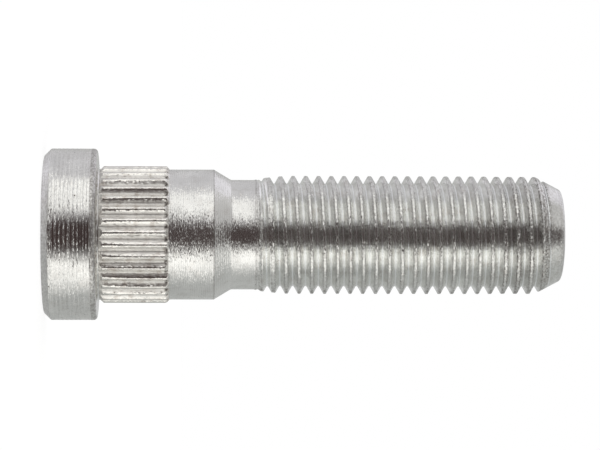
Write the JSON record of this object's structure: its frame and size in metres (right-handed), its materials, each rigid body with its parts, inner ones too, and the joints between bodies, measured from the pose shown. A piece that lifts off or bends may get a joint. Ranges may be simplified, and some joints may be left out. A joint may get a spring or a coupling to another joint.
{
  "type": "wheel stud",
  "caption": "Press-in steel wheel stud with a round head, a straight knurl, a plain shoulder, a reduced neck and a long right-hand thread with a chamfered tip.",
  "frame": {"origin": "centre of the flat end face of the head, which the stud stands on", "axes": "+Z along the axis from the head to the tip, +X and +Y square to it"},
  "size_m": [0.02, 0.02, 0.0606],
  "materials": {
    "zinc_plated_steel": "bright zinc plate over turned and rolled steel, with fine turning lines and a slight grain"
  },
  "bodies": {
    "root": {"stud": "zinc_plated_steel"}
  },
  "joints": []
}
